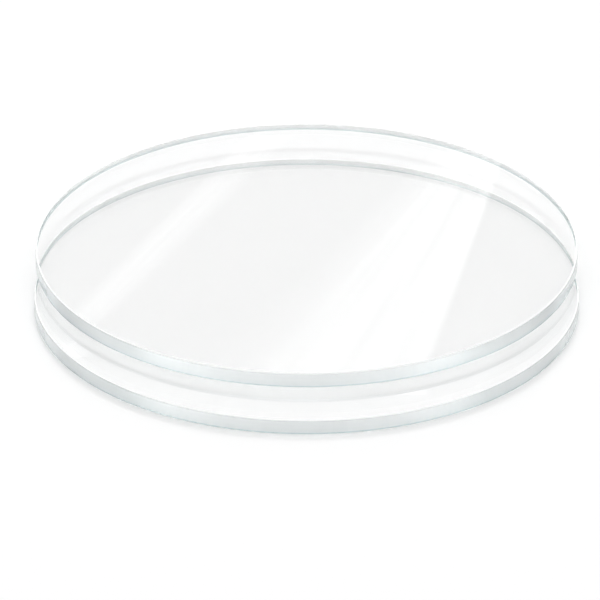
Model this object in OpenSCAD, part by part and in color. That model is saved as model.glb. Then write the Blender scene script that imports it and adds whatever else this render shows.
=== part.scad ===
// Circle template set: two clear round plates, each traced around its polished rim.
// The upper plate lies flat on the lower one and is slid back on it, so that a
// crescent of the lower plate shows along the front.
// Frame: +Z up, +Y towards the back, origin in the middle of the lower plate's underside.

/* [Disc] */
// Diameter of each disc, which is the circle that it draws
disc_d = 101.6; // [60:0.1:305]
// Thickness of the sheet that each disc is cut from
disc_t = 3; // [1.5:0.1:10]
// Radius polished onto both edges of the rim
edge_r = 0.3; // [0.05:0.05:0.6]

/* [Stack] */
// How far back the upper disc lies on the lower one
slide_back = 12.5; // [0:0.5:25]

/* [Hidden] */
// Clear sheet with a faint blue-green cast, as red, green, blue and opacity
clear_sheet = [0.88, 0.94, 0.94, 0.45];
// Steps around the rim in the preview
$fn = 240;

// Half of a disc's cross-section: two flat faces and a square rim, rounded along both edges
module disc_section() {
    rim_r = disc_d / 2;
    face_r = rim_r - edge_r;
    square([face_r, disc_t]);
    translate([0, edge_r])
        square([rim_r, disc_t - 2 * edge_r]);
    for (edge_z = [edge_r, disc_t - edge_r])
        translate([face_r, edge_z])
            circle(edge_r);
}

// One disc, standing on its underside at the origin
module disc() {
    color(clear_sheet)
        rotate_extrude()
            disc_section();
}

// The disc that lies on the table
module lower_disc() {
    disc();
}

// The disc that lies on the lower one and lifts off it
module upper_disc() {
    translate([0, slide_back, disc_t])
        disc();
}

lower_disc();
upper_disc();
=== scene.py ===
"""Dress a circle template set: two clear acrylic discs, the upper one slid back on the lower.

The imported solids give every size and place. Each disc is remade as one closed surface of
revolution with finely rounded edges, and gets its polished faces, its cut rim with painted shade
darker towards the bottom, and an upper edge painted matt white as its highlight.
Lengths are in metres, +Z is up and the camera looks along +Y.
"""

import logging
import math
from dataclasses import dataclass
from enum import Enum

import bpy
import numpy as np
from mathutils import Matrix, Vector

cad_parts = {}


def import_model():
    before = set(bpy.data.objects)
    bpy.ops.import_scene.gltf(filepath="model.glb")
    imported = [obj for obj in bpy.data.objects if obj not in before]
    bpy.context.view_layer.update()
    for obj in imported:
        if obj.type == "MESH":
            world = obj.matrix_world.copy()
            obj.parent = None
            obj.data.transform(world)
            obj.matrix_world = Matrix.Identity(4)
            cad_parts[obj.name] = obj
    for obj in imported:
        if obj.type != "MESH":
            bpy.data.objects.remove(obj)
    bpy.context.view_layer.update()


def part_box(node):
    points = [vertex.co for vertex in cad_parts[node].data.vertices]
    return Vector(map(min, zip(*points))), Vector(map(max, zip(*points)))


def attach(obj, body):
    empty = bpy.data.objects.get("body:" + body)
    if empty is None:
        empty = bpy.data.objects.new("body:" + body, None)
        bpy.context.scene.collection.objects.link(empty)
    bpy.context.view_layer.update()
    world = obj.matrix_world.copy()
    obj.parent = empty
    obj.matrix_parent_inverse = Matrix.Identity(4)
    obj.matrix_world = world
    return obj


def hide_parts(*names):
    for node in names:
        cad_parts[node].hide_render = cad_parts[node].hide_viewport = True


LOG = logging.getLogger("circle_template")
MM = 0.001
DISC_GAP = 0.02 * MM
NOISE_DETAIL = 3.0
ACRYLIC_IOR = 1.49
RGB = tuple[float, float, float]
Triple = tuple[float, float, float]
Stops = tuple[tuple[float, RGB], ...]
Levels = tuple[tuple[float, float], ...]


class RayKind(Enum):
    """Kinds of ray that the stage tells apart, by their Light Path output."""

    CAMERA = "Is Camera Ray"
    GLOSSY = "Is Glossy Ray"
    TRANSMISSION = "Is Transmission Ray"


class Zone(Enum):
    """Zones of a disc's surface, by the material slot that finishes each."""

    FACE = 0
    EDGE = 1
    RIM = 2


def link(
    tree: bpy.types.NodeTree, source: bpy.types.NodeSocket, target: bpy.types.NodeSocket
) -> None:
    """Join an output socket to an input socket.

    Args:
        tree: Node tree that holds both.
        source: The output.
        target: The input.
    """
    tree.links.new(source, target)


def any_ray(tree: bpy.types.NodeTree, kinds: tuple[RayKind, ...]) -> bpy.types.NodeSocket:
    """Give 1 for a ray that is one of the kinds, and 0 for any other.

    Args:
        tree: Node tree that the nodes are added to.
        kinds: Kinds of ray that count.

    Returns:
        The socket that carries the mask.
    """
    path = tree.nodes.new("ShaderNodeLightPath")
    mask = path.outputs[kinds[0].value]
    for kind in kinds[1:]:
        either = tree.nodes.new("ShaderNodeMath")
        either.operation = "MAXIMUM"
        link(tree, mask, either.inputs[0])
        link(tree, path.outputs[kind.value], either.inputs[1])
        mask = either.outputs[0]
    return mask


def spread(
    tree: bpy.types.NodeTree, mask: bpy.types.NodeSocket, low: float, high: float
) -> bpy.types.NodeSocket:
    """Turn a mask from 0 to 1 into a value from low to high.

    Args:
        tree: Node tree that the node is added to.
        mask: Socket that carries the mask.
        low: Value where the mask is 0.
        high: Value where the mask is 1.

    Returns:
        The socket that carries the value.
    """
    node = tree.nodes.new("ShaderNodeMapRange")
    node.inputs["To Min"].default_value = low
    node.inputs["To Max"].default_value = high
    link(tree, mask, node.inputs["Value"])
    return node.outputs["Result"]


def combine(
    tree: bpy.types.NodeTree,
    operation: str,
    first: bpy.types.NodeSocket,
    second: bpy.types.NodeSocket,
) -> bpy.types.NodeSocket:
    """Join two values by one operation.

    Args:
        tree: Node tree that the node is added to.
        operation: Name of the Math node's operation.
        first: Socket of the first value.
        second: Socket of the second value.

    Returns:
        The socket that carries the outcome.
    """
    node = tree.nodes.new("ShaderNodeMath")
    node.operation = operation
    link(tree, first, node.inputs[0])
    link(tree, second, node.inputs[1])
    return node.outputs[0]


def fade(
    tree: bpy.types.NodeTree,
    mask: bpy.types.NodeSocket,
    value: bpy.types.NodeSocket,
    goal: bpy.types.NodeSocket | float,
) -> bpy.types.NodeSocket:
    """Fade a value into another where a mask rises from 0 to 1.

    Args:
        tree: Node tree that the node is added to.
        mask: Socket that carries the mask.
        value: Socket that carries the value where the mask is 0.
        goal: Value where the mask is 1, or the socket that carries it.

    Returns:
        The socket that carries the faded value.
    """
    node = tree.nodes.new("ShaderNodeMix")
    link(tree, mask, node.inputs["Factor"])
    link(tree, value, node.inputs["A"])
    if isinstance(goal, float):
        node.inputs["B"].default_value = goal
    else:
        link(tree, goal, node.inputs["B"])
    return node.outputs["Result"]


def colour_ramp(
    tree: bpy.types.NodeTree, value: bpy.types.NodeSocket, stops: Stops
) -> bpy.types.NodeSocket:
    """Colour a value from 0 to 1 by soft steps between a few stops.

    Args:
        tree: Node tree that the node is added to.
        value: Socket that carries the value.
        stops: Places from 0 to 1, each with its colour.

    Returns:
        The socket that carries the colour.
    """
    node = tree.nodes.new("ShaderNodeValToRGB")
    ramp = node.color_ramp
    ramp.interpolation = "EASE"
    while len(ramp.elements) < len(stops):
        ramp.elements.new(1.0)
    for element, (place, colour) in zip(ramp.elements, stops):
        element.position = place
        element.color = (*colour, 1.0)
    link(tree, value, node.inputs["Fac"])
    return node.outputs["Color"]


def grey_stops(levels: Levels) -> Stops:
    """Write places and grey levels as the stops of a ramp.

    Args:
        levels: Places along the ramp with their grey levels.

    Returns:
        The stops.
    """
    return tuple((place, (level, level, level)) for place, level in levels)


def revolve(
    section: np.ndarray, centre: np.ndarray, steps: int
) -> tuple[np.ndarray, list[tuple[int, ...]]]:
    """Carry a half section once around an upright axis.

    A section point (r, z) at the angle u lands at (r cos u, r sin u, z) from the centre. The
    section's first and last points lie on the axis, and each becomes one pole under a fan of
    triangles, while the rings between are joined by quads, so the surface has no seam.

    Args:
        section: Points (r, z), from the lower pole out along the rim to the upper pole.
        centre: Place of the axis at z = 0.
        steps: Number of steps around the axis.

    Returns:
        The vertices and the faces, wound so that they point outwards.
    """
    turn = np.linspace(0.0, 2.0 * math.pi, steps, endpoint=False)
    radius, height = section[1:-1, 0], section[1:-1, 1]
    rings = np.stack(
        [
            np.outer(radius, np.cos(turn)),
            np.outer(radius, np.sin(turn)),
            np.outer(height, np.ones(steps)),
        ],
        axis=-1,
    ).reshape(-1, 3)
    poles = np.array([[0.0, 0.0, section[0, 1]], [0.0, 0.0, section[-1, 1]]])
    vertices = np.vstack([rings, poles]) + centre

    step = np.arange(steps)
    after = (step + 1) % steps
    row = np.arange(len(radius) - 1)[:, None] * steps
    corners = [row + step, row + after, row + steps + after, row + steps + step]
    quads = np.stack(corners, axis=-1).reshape(-1, 4)
    last = (len(radius) - 1) * steps
    low_pole, high_pole = len(rings), len(rings) + 1
    low_fan = np.stack([after, step, np.full(steps, low_pole)], axis=-1)
    high_fan = np.stack([last + step, last + after, np.full(steps, high_pole)], axis=-1)
    faces = [tuple(face) for part in (quads, low_fan, high_fan) for face in part.tolist()]
    return vertices, faces


@dataclass(frozen=True)
class FineMarks:
    """Fine marks or folds: noise drawn out along one direction and cut to a mask.

    Attributes:
        scale: Noise features per metre.
        stretch: Share of the scale that is kept along X, Y and Z.
        turn: Turn of the marks about the upright axis, in degrees.
        start: Noise level at which a mark begins to show.
        end: Noise level at which a mark is full.
    """

    scale: float
    stretch: Triple = (1.0, 1.0, 1.0)
    turn: float = 0.0
    start: float = 0.3
    end: float = 0.7

    @staticmethod
    def group() -> bpy.types.NodeTree:
        """Give the node group that draws the marks, built the first time it is asked for.

        Returns:
            The group, whose output is the mask.
        """
        name = "fine_marks"
        if name in bpy.data.node_groups:
            return bpy.data.node_groups[name]
        tree = bpy.data.node_groups.new(name, "ShaderNodeTree")
        sockets = {
            "Vector": "NodeSocketVector",
            "Stretch": "NodeSocketVector",
            "Turn": "NodeSocketFloat",
            "Scale": "NodeSocketFloat",
            "Start": "NodeSocketFloat",
            "End": "NodeSocketFloat",
        }
        for socket, kind in sockets.items():
            tree.interface.new_socket(name=socket, in_out="INPUT", socket_type=kind)
        tree.interface.new_socket(name="Mask", in_out="OUTPUT", socket_type="NodeSocketFloat")
        given = tree.nodes.new("NodeGroupInput")
        turned = tree.nodes.new("ShaderNodeVectorRotate")
        turned.rotation_type = "Z_AXIS"
        drawn = tree.nodes.new("ShaderNodeVectorMath")
        drawn.operation = "MULTIPLY"
        noise = tree.nodes.new("ShaderNodeTexNoise")
        noise.inputs["Detail"].default_value = NOISE_DETAIL
        cut = tree.nodes.new("ShaderNodeMapRange")
        cut.interpolation_type = "SMOOTHSTEP"
        result = tree.nodes.new("NodeGroupOutput")
        link(tree, given.outputs["Vector"], turned.inputs["Vector"])
        link(tree, given.outputs["Turn"], turned.inputs["Angle"])
        link(tree, turned.outputs["Vector"], drawn.inputs[0])
        link(tree, given.outputs["Stretch"], drawn.inputs[1])
        link(tree, drawn.outputs["Vector"], noise.inputs["Vector"])
        link(tree, given.outputs["Scale"], noise.inputs["Scale"])
        link(tree, noise.outputs["Fac"], cut.inputs["Value"])
        link(tree, given.outputs["Start"], cut.inputs["From Min"])
        link(tree, given.outputs["End"], cut.inputs["From Max"])
        link(tree, cut.outputs["Result"], result.inputs["Mask"])
        return tree

    def place(self, tree: bpy.types.NodeTree, place: bpy.types.NodeSocket) -> bpy.types.NodeSocket:
        """Put the marks into a material.

        Args:
            tree: Node tree of the material.
            place: Socket that carries the coordinates that the marks follow.

        Returns:
            The socket that carries the mask of the marks.
        """
        node = tree.nodes.new("ShaderNodeGroup")
        node.node_tree = self.group()
        node.inputs["Stretch"].default_value = self.stretch
        node.inputs["Turn"].default_value = math.radians(self.turn)
        node.inputs["Scale"].default_value = self.scale
        node.inputs["Start"].default_value = self.start
        node.inputs["End"].default_value = self.end
        link(tree, place, node.inputs["Vector"])
        return node.outputs["Mask"]


@dataclass(frozen=True)
class AcrylicFinish:
    """Finish of one zone of a clear acrylic disc.

    The colour follows the height in the sheet, and deepens or pales a little with the marks.

    Attributes:
        name: Name of the finish.
        tints_and_shade: Colours that the zone keeps of the light it passes or scatters, by the
            share of the
        sheet's thickness above its lower face. On the rim they also paint shade, darker towards the
        lower face.
        marked_tint: Colour that the marks multiply the tint by.
        clarity: Share of the light that passes, the rest being scattered.
        roughness: Roughness where the zone is clean and where a mark is full.
        marks: Fine marks that the zone carries.
        cloud: Broad, faint unevenness of the polish, which weakens the marks in places.
        evenness: Share of a mark's strength that is left where the cloud is thinnest.
        relief: Depth of the marks.
    """

    name: str
    tints_and_shade: Stops
    marked_tint: RGB
    clarity: float
    roughness: tuple[float, float]
    marks: FineMarks
    cloud: FineMarks
    evenness: float = 0.4
    relief: float = 0.0

    def material(self, disc: str, low: float, high: float) -> bpy.types.Material:
        """Build the finish for one disc.

        Args:
            disc: Name of the disc.
            low: Height of the disc's lower face.
            high: Height of the disc's upper face.

        Returns:
            The material.
        """
        material = bpy.data.materials.new(f"{disc}_{self.name}")
        material.use_nodes = True
        tree = material.node_tree
        sheet = tree.nodes["Principled BSDF"]
        sheet.inputs["Metallic"].default_value = 0.0
        sheet.inputs["Transmission Weight"].default_value = self.clarity
        sheet.inputs["IOR"].default_value = ACRYLIC_IOR

        place = tree.nodes.new("ShaderNodeTexCoord").outputs["Object"]
        marks = self.marks.place(tree, place)
        cloud = self.cloud.place(tree, place)
        link(tree, self.colour(tree, place, marks, low, high), sheet.inputs["Base Color"])
        both = combine(tree, "MULTIPLY", marks, spread(tree, cloud, self.evenness, 1.0))
        link(tree, spread(tree, both, *self.roughness), sheet.inputs["Roughness"])
        if self.relief > 0.0:
            bump = tree.nodes.new("ShaderNodeBump")
            bump.inputs["Distance"].default_value = self.relief
            link(tree, both, bump.inputs["Height"])
            link(tree, bump.outputs["Normal"], sheet.inputs["Normal"])
        return material

    def colour(
        self,
        tree: bpy.types.NodeTree,
        place: bpy.types.NodeSocket,
        marks: bpy.types.NodeSocket,
        low: float,
        high: float,
    ) -> bpy.types.NodeSocket:
        """Colour the zone by its height in the sheet and by its marks.

        Args:
            tree: Node tree of the material.
            place: Socket that carries the object coordinates.
            marks: Socket that carries the mask of the marks.
            low: Height of the disc's lower face.
            high: Height of the disc's upper face.

        Returns:
            The socket that carries the colour.
        """
        centred = tree.nodes.new("ShaderNodeMapping")
        centred.inputs["Location"].default_value = (0.0, 0.0, -low / (high - low))
        centred.inputs["Scale"].default_value = (1.0, 1.0, 1.0 / (high - low))
        link(tree, place, centred.inputs["Vector"])
        split = tree.nodes.new("ShaderNodeSeparateXYZ")
        link(tree, centred.outputs["Vector"], split.inputs["Vector"])
        # On the rim this ramp paints shade, darker towards the lower face.
        tint_and_shade = colour_ramp(tree, split.outputs["Z"], self.tints_and_shade)
        mix = tree.nodes.new("ShaderNodeMix")
        mix.data_type = "RGBA"
        mix.blend_type = "MULTIPLY"
        factor, first, second = mix.inputs[0], mix.inputs[6], mix.inputs[7]
        link(tree, marks, factor)
        link(tree, tint_and_shade, first)
        second.default_value = (*self.marked_tint, 1.0)
        return mix.outputs[2]


FACE_FINISH = AcrylicFinish(
    name="polished_face",
    tints_and_shade=((0.0, (0.962, 0.964, 0.964)), (1.0, (0.966, 0.967, 0.967))),
    marked_tint=(0.997, 0.998, 0.998),
    clarity=1.0,
    roughness=(0.0, 0.02),
    marks=FineMarks(scale=420.0, stretch=(1.0, 0.03, 1.0), turn=24.0, start=0.62, end=0.74),
    cloud=FineMarks(scale=30.0),
)
# The upper edge is matt white and scatters all the light it gets: a painted highlight in place of
# the glint on a polished edge.
PAINTED_HIGHLIGHT_FINISH = AcrylicFinish(
    name="painted_highlight_edge",
    tints_and_shade=((0.0, (0.97, 0.99, 0.99)), (1.0, (1.0, 1.0, 1.0))),
    marked_tint=(0.97, 0.98, 0.98),
    clarity=0.0,
    roughness=(0.25, 0.4),
    marks=FineMarks(scale=900.0, start=0.45, end=0.75),
    cloud=FineMarks(scale=60.0),
)
RIM_FINISH = AcrylicFinish(
    name="cut_rim_painted_shade",
    # The rim darkens towards its lower face, down to a dark teal line at the bottom: painted shade,
    # as if lit from above, over the pale teal of the sheet's edge.
    tints_and_shade=(
        (0.05, (0.62, 0.745, 0.75)),
        (0.2, (0.88, 0.935, 0.937)),
        (0.55, (0.952, 0.975, 0.983)),
        (0.95, (0.974, 0.988, 0.994)),
    ),
    marked_tint=(0.985, 0.99, 0.99),
    clarity=0.65,
    roughness=(0.15, 0.2),
    marks=FineMarks(scale=1400.0, stretch=(1.0, 1.0, 0.04), start=0.4, end=0.7),
    cloud=FineMarks(scale=50.0),
    relief=0.004 * MM,
)


@dataclass
class ClearDisc:
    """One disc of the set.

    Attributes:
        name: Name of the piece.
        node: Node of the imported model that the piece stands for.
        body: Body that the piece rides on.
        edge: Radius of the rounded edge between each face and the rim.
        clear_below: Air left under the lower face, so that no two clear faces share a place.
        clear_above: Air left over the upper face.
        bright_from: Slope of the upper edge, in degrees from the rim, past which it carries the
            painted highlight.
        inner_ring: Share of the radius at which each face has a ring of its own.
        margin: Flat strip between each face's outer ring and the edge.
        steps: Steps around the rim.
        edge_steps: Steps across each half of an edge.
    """

    name: str
    node: str
    body: str
    edge: float = 0.3 * MM
    clear_below: float = 0.0
    clear_above: float = 0.0
    bright_from: float = 30.0
    inner_ring: float = 0.5
    margin: float = 0.05 * MM
    steps: int = 720
    edge_steps: int = 4

    def section(self, radius: float, low: float, high: float) -> tuple[np.ndarray, np.ndarray]:
        """Draw half of the cross-section, from the lower pole along the rim to the upper pole.

        Each edge is a quarter circle between a flat face and the upright rim. At the slope s from
        the rim its point lies cos s of the radius outwards and sin s of it towards the face.

        Args:
            radius: Radius of the disc.
            low: Height of the lower face.
            high: Height of the upper face.

        Returns:
            The points (r, z), and the zone of the stretch after each point but the last.
        """
        inner = radius - self.edge
        split = math.radians(self.bright_from)
        slope = np.concatenate(
            [
                np.linspace(0.0, split, self.edge_steps, endpoint=False),
                np.linspace(split, math.pi / 2.0, self.edge_steps + 1),
            ]
        )
        outwards = inner + self.edge * np.cos(slope)
        faceward = self.edge * (1.0 - np.sin(slope))
        high_edge = np.stack([outwards, high - faceward], axis=-1)
        low_edge = np.stack([outwards, low + faceward], axis=-1)[::-1]
        flat = np.array([0.0, self.inner_ring * radius, inner - self.margin])
        low_face = np.stack([flat, np.full_like(flat, low)], axis=-1)
        high_face = np.stack([flat[::-1], np.full_like(flat, high)], axis=-1)
        points = np.vstack([low_face, low_edge, high_edge, high_face])
        stretches = [
            np.full(len(low_face), Zone.FACE.value),
            np.full(3 * self.edge_steps + 1, Zone.RIM.value),
            np.full(self.edge_steps, Zone.EDGE.value),
            np.full(len(high_face), Zone.FACE.value),
        ]
        return points, np.concatenate(stretches)

    def build(self) -> bpy.types.Object:
        """Make the disc's mesh where its node stands.

        Returns:
            The new object, at the origin with its place in its mesh.
        """
        low, high = (np.array(corner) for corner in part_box(self.node))
        radius = (high[1] - low[1]) / 2.0
        centre = np.array([(low[0] + high[0]) / 2.0, (low[1] + high[1]) / 2.0, 0.0])
        section, zones = self.section(radius, low[2] + self.clear_below, high[2] - self.clear_above)
        vertices, faces = revolve(section, centre, self.steps)
        mesh = bpy.data.meshes.new(self.name)
        mesh.from_pydata(vertices.tolist(), [], faces)
        mesh.polygons.foreach_set("use_smooth", np.ones(len(faces), dtype=bool))
        ordered = np.concatenate([zones[1:-1], zones[[0, -1]]])
        slots = np.repeat(ordered, self.steps)
        for _ in Zone:
            mesh.materials.append(None)
        mesh.polygons.foreach_set("material_index", slots.astype(np.int32))
        mesh.update()
        piece = bpy.data.objects.new(self.name, mesh)
        bpy.context.scene.collection.objects.link(piece)
        return piece

    def dress(self, piece: bpy.types.Object, finishes: dict[Zone, AcrylicFinish]) -> None:
        """Give the piece its finishes and its place on the moving model.

        Args:
            piece: The disc's object.
            finishes: Finish of each zone.
        """
        low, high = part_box(self.node)
        for zone, finish in finishes.items():
            piece.data.materials[zone.value] = finish.material(self.name, low[2], high[2])
        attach(piece, self.body)
        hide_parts(self.node)


@dataclass
class Studio:
    """White table, pale walls under a bright canopy, and a soft lamp.

    Attributes:
        floor_size: Side of the square table top.
        floor_drop: How far the table top lies below the discs, so that no two faces share a place.
        floor_colour: Grey level of the table under the lamp.
        floor_glow: White that the table adds for a ray that looks at it.
        walls: Grey levels of the walls that light the discs, by the angle in degrees to either side
            of straight behind.
        canopy: Grey level above the walls.
        canopy_rise: Heights above the table, in degrees, between which the walls fade into the
            canopy.
        sheen: Grey levels of the surroundings where a polished face mirrors them, by the angle to
            either side as well.
        key_place: Place of the lamp.
        key_size: Width and depth of the lamp.
        key_radiance: Brightness of the lamp.
    """

    floor_size: float = 6.0
    floor_drop: float = 0.05 * MM
    floor_colour: float = 0.6
    floor_glow: float = 0.33
    walls: Levels = (
        (0.0, 0.9),
        (10.0, 1.1),
        (28.0, 1.75),
        (40.0, 0.15),
        (54.0, 0.12),
        (71.0, 1.7),
        (84.0, 0.3),
        (100.0, 0.6),
        (180.0, 0.7),
    )
    canopy: float = 1.08
    canopy_rise: tuple[float, float] = (35.0, 45.0)
    sheen: Levels = ((0.0, 1.25), (30.0, 1.25), (50.0, 1.0), (180.0, 1.0))
    key_place: Triple = (0.0, 0.86, 1.23)
    key_size: tuple[float, float] = (0.5, 0.4)
    key_radiance: float = 11.0

    def build(self) -> None:
        """Make the table, the walls and the lamp."""
        self.table()
        self.surroundings()
        key = self.lamp("key_softbox", self.key_place, self.key_size, self.key_radiance)
        # The outer surfaces carry no mirror image of the lamp.
        key.visible_glossy = False

    def table(self) -> None:
        """Lay a matt white table top that keeps the discs' shadow."""
        half = self.floor_size / 2.0
        corners = [(-half, -half), (half, -half), (half, half), (-half, half)]
        mesh = bpy.data.meshes.new("table_top")
        mesh.from_pydata([(x, y, -self.floor_drop) for x, y in corners], [], [(0, 1, 2, 3)])
        table = bpy.data.objects.new("table_top", mesh)
        bpy.context.scene.collection.objects.link(table)

        material = bpy.data.materials.new("matt_white_table")
        material.use_nodes = True
        tree = material.node_tree
        surface = tree.nodes["Principled BSDF"]
        surface.inputs["Base Color"].default_value = (*[self.floor_colour] * 3, 1.0)
        surface.inputs["Roughness"].default_value = 1.0
        surface.inputs["Specular IOR Level"].default_value = 0.0
        surface.inputs["Emission Color"].default_value = (1.0, 1.0, 1.0, 1.0)
        glow = spread(tree, any_ray(tree, tuple(RayKind)), 0.0, self.floor_glow)
        link(tree, glow, surface.inputs["Emission Strength"])
        table.data.materials.append(material)

    def surroundings(self) -> None:
        """Surround the table with pale walls, which show as plain white to the camera."""
        world = bpy.data.worlds.new("studio")
        bpy.context.scene.world = world
        world.use_nodes = True
        tree = world.node_tree
        background = tree.nodes["Background"]
        background.inputs["Color"].default_value = (1.0, 1.0, 1.0, 1.0)

        split = tree.nodes.new("ShaderNodeSeparateXYZ")
        direction = tree.nodes.new("ShaderNodeTexCoord").outputs["Generated"]
        link(tree, direction, split.inputs["Vector"])
        sideways = tree.nodes.new("ShaderNodeMath")
        sideways.operation = "ABSOLUTE"
        link(tree, split.outputs["X"], sideways.inputs[0])
        angle = combine(tree, "ARCTAN2", sideways.outputs[0], split.outputs["Y"])
        share = tree.nodes.new("ShaderNodeMath")
        share.operation = "DIVIDE"
        share.inputs[1].default_value = math.pi
        link(tree, angle, share.inputs[0])
        wall = self.by_turn(tree, share.outputs[0], self.walls)
        sheen = self.by_turn(tree, share.outputs[0], self.sheen)
        rise = tree.nodes.new("ShaderNodeMapRange")
        rise.interpolation_type = "SMOOTHSTEP"
        low_rise, high_rise = (math.sin(math.radians(height)) for height in self.canopy_rise)
        rise.inputs["From Min"].default_value = low_rise
        rise.inputs["From Max"].default_value = high_rise
        link(tree, split.outputs["Z"], rise.inputs["Value"])
        shell = fade(tree, rise.outputs["Result"], wall, self.canopy)
        # A ray that has passed through the sheet counts as glossy too, and isn't a mirrored one.
        glossy = any_ray(tree, (RayKind.GLOSSY,))
        passed = any_ray(tree, (RayKind.TRANSMISSION,))
        mirrored = combine(tree, "SUBTRACT", glossy, passed)
        lit = fade(tree, mirrored, shell, sheen)
        level = fade(tree, any_ray(tree, (RayKind.CAMERA,)), lit, 1.0)
        link(tree, level, background.inputs["Strength"])

    @staticmethod
    def by_turn(
        tree: bpy.types.NodeTree, share: bpy.types.NodeSocket, levels: Levels
    ) -> bpy.types.NodeSocket:
        """Set a grey level by the turn away from straight behind.

        Args:
            tree: Node tree of the world.
            share: Socket that carries the turn as a share of half a turn.
            levels: Grey levels by the turn in degrees.

        Returns:
            The socket that carries the level.
        """
        brightest = max(level for _, level in levels)
        stops = grey_stops(tuple((turn / 180.0, level / brightest) for turn, level in levels))
        return spread(tree, colour_ramp(tree, share, stops), 0.0, brightest)

    @staticmethod
    def lamp(
        name: str, place: Triple, size: tuple[float, float], radiance: float
    ) -> bpy.types.Object:
        """Hang a soft oval lamp that faces the origin.

        Args:
            name: Name of the lamp.
            place: Place of its middle.
            size: Its width and depth.
            radiance: Its brightness, where 1 is white.

        Returns:
            The lamp's object.
        """
        light = bpy.data.lights.new(name, "AREA")
        light.shape = "ELLIPSE"
        light.size, light.size_y = size
        area = math.pi * size[0] * size[1] / 4.0
        light.energy = radiance * math.pi * area
        lamp = bpy.data.objects.new(name, light)
        lamp.location = place
        lamp.rotation_euler = (-Vector(place)).to_track_quat("-Z", "Y").to_euler()
        lamp.visible_camera = False
        bpy.context.scene.collection.objects.link(lamp)
        return lamp


@dataclass
class WindowCard:
    """Upright glowing card behind the set, which the upper face mirrors as a pale streak.

    Attributes:
        name: Name of the card.
        corners: Corners of the streak on the upper face, from its middle: back left, back right,
            front right and front left.
        glow: Light that the card adds where it is brightest.
        profile: Brightness of the card by the share of its width from the left.
        folds: Upright folds, which are the card's brighter parts.
        fold_depth: Share of its brightness that the card loses between the folds.
        depth: How far behind the origin the card stands.
        steps: Steps of the card's grid each way.
    """

    name: str
    corners: tuple[tuple[float, float], ...]
    glow: float
    profile: Levels
    folds: FineMarks = FineMarks(scale=9.0, stretch=(1.0, 0.08, 1.0))
    fold_depth: float = 0.45
    depth: float = 0.6
    steps: int = 24

    def build(self, eye: Vector, middle: np.ndarray) -> bpy.types.Object:
        """Stand the card where the upper face mirrors it as the streak.

        The streak's point at the shares u across and v along is the bilinear mix of its corners.
        The card's point is where a line from the camera, mirrored in the face, through the
        streak's point meets the upright plane at the card's depth.

        Args:
            eye: Place of the camera.
            middle: Middle of the upper face.

        Returns:
            The card's object.
        """
        share = np.linspace(0.0, 1.0, self.steps + 1)
        across, along = (grid[..., None] for grid in np.meshgrid(share, share))
        places = [np.array(corner) for corner in self.corners]
        back_left, back_right, front_right, front_left = places
        back = back_left * (1.0 - across) + back_right * across
        front = front_left * (1.0 - across) + front_right * across
        streak = np.zeros((*across.shape[:2], 3)) + middle
        streak[..., :2] += back * (1.0 - along) + front * along
        mirrored = np.array([eye.x, eye.y, 2.0 * middle[2] - eye.z])
        reach = (self.depth - mirrored[1]) / (streak[..., 1] - mirrored[1])
        vertices = (mirrored + reach[..., None] * (streak - mirrored)).reshape(-1, 3)

        side = self.steps + 1
        first = (np.arange(self.steps)[:, None] * side + np.arange(self.steps)).reshape(-1)
        faces = np.stack([first, first + 1, first + side + 1, first + side], axis=-1)
        mesh = bpy.data.meshes.new(self.name)
        mesh.from_pydata(vertices.tolist(), [], faces.tolist())
        shares = np.concatenate([across, along], axis=-1).reshape(-1, 2)
        corner_shares = shares[faces.reshape(-1)].reshape(-1)
        mesh.uv_layers.new(name="shares").data.foreach_set("uv", corner_shares)
        mesh.materials.append(self.material())
        card = bpy.data.objects.new(self.name, mesh)
        for ray in ("camera", "diffuse", "transmission", "volume_scatter", "shadow"):
            setattr(card, f"visible_{ray}", False)
        bpy.context.scene.collection.objects.link(card)
        return card

    def material(self) -> bpy.types.Material:
        """Make the card clear, with a glow that fades across it.

        Returns:
            The material.
        """
        material = bpy.data.materials.new(self.name)
        material.use_nodes = True
        tree = material.node_tree
        tree.nodes.remove(tree.nodes["Principled BSDF"])
        uv = tree.nodes.new("ShaderNodeTexCoord").outputs["UV"]
        split = tree.nodes.new("ShaderNodeSeparateXYZ")
        link(tree, uv, split.inputs["Vector"])
        bright = colour_ramp(tree, split.outputs["X"], grey_stops(self.profile))
        folds = spread(tree, self.folds.place(tree, uv), 1.0 - self.fold_depth, 1.0)
        light = combine(tree, "MULTIPLY", bright, folds)
        emission = tree.nodes.new("ShaderNodeEmission")
        emission.inputs["Strength"].default_value = self.glow
        link(tree, light, emission.inputs["Color"])
        both = tree.nodes.new("ShaderNodeAddShader")
        link(tree, emission.outputs["Emission"], both.inputs[0])
        link(tree, tree.nodes.new("ShaderNodeBsdfTransparent").outputs["BSDF"], both.inputs[1])
        link(tree, both.outputs["Shader"], tree.nodes["Material Output"].inputs["Surface"])
        return material


WINDOWS = (
    WindowCard(
        name="wide_window",
        corners=(
            (22.8 * MM, 40.0 * MM),
            (38.4 * MM, 40.0 * MM),
            (22.7 * MM, -50.9 * MM),
            (-23.5 * MM, -50.9 * MM),
        ),
        glow=1.2,
        profile=((0.0, 0.0), (0.6, 0.95), (0.95, 1.0), (1.0, 0.0)),
    ),
    WindowCard(
        name="narrow_window",
        corners=(
            (-12.5 * MM, 46.0 * MM),
            (-1.5 * MM, 46.0 * MM),
            (-39.0 * MM, -36.0 * MM),
            (-49.0 * MM, -36.0 * MM),
        ),
        glow=0.7,
        profile=((0.0, 0.0), (0.35, 1.0), (0.65, 0.8), (1.0, 0.0)),
    ),
)


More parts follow.
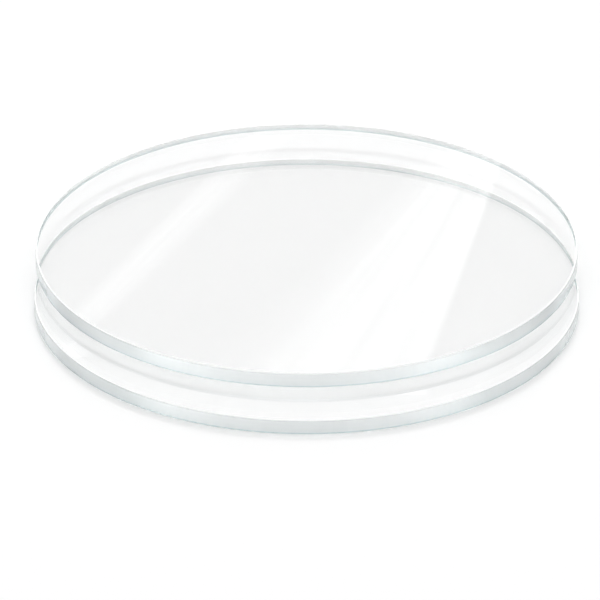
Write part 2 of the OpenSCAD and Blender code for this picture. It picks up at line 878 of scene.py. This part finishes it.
@dataclass
class PhotoCamera:
    """Long-lens camera above the front of the set.

    Attributes:
        elevation: Angle of the view above the table, in degrees.
        distance: Distance from the aim point.
        frame_width: Width of the square picture at the aim point.
        aim: Point at the middle of the picture.
        sensor: Width of the sensor in millimetres.
        sight: Farthest distance that the camera shows.
    """

    elevation: float = 27.72
    distance: float = 2.0
    frame_width: float = 112.07 * MM
    aim: Triple = (-1.23 * MM, 2.1 * MM, 0.0)
    sensor: float = 36.0
    sight: float = 100.0

    def build(self) -> bpy.types.Object:
        """Place the camera and make it the scene's own.

        Returns:
            The camera's object.
        """
        data = bpy.data.cameras.new("front_camera")
        data.sensor_width = self.sensor
        data.lens = self.sensor * self.distance / self.frame_width
        data.clip_end = self.sight
        camera = bpy.data.objects.new("front_camera", data)
        rise = math.radians(self.elevation)
        away = Vector((0.0, -math.cos(rise), math.sin(rise)))
        camera.location = Vector(self.aim) + self.distance * away
        camera.rotation_euler = (-away).to_track_quat("-Z", "Y").to_euler()
        bpy.context.scene.collection.objects.link(camera)
        bpy.context.scene.camera = camera
        return camera


def set_light_paths(bounces: int = 64) -> None:
    """Let light bounce along the inside of a clear rim until it leaves it.

    Args:
        bounces: Longest path through clear sheet.
    """
    cycles = bpy.context.scene.cycles
    cycles.max_bounces = bounces
    cycles.transmission_bounces = bounces
    cycles.glossy_bounces = bounces
    cycles.blur_glossy = 0.0


def main() -> None:
    """Build the set, its studio and its camera."""
    logging.basicConfig(level=logging.INFO, format="%(name)s: %(message)s")
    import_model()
    bpy.context.scene.view_settings.view_transform = "Standard"
    set_light_paths()
    camera = PhotoCamera().build()
    LOG.info("%s looks at the set", camera.name)
    studio = Studio()
    studio.build()
    LOG.info("table top of %.1f m, walls and lamp in place", studio.floor_size)

    upper_low, upper_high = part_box("upper_disc")
    middle = np.array([0.0, (upper_low[1] + upper_high[1]) / 2.0, upper_high[2]])
    for window in WINDOWS:
        card = window.build(camera.location, middle)
        LOG.info("%s stands %.2f m behind the set", card.name, window.depth)

    finishes = {Zone.FACE: FACE_FINISH, Zone.EDGE: PAINTED_HIGHLIGHT_FINISH, Zone.RIM: RIM_FINISH}
    discs = [
        ClearDisc("lower_clear_disc", "lower_disc", "lower", clear_above=DISC_GAP),
        ClearDisc("upper_clear_disc", "upper_disc", "upper", clear_below=DISC_GAP),
    ]
    for disc in discs:
        piece = disc.build()
        disc.dress(piece, finishes)
        LOG.info("%s rides on %s with %d faces", piece.name, disc.body, len(piece.data.polygons))


if __name__ == "__main__":
    main()
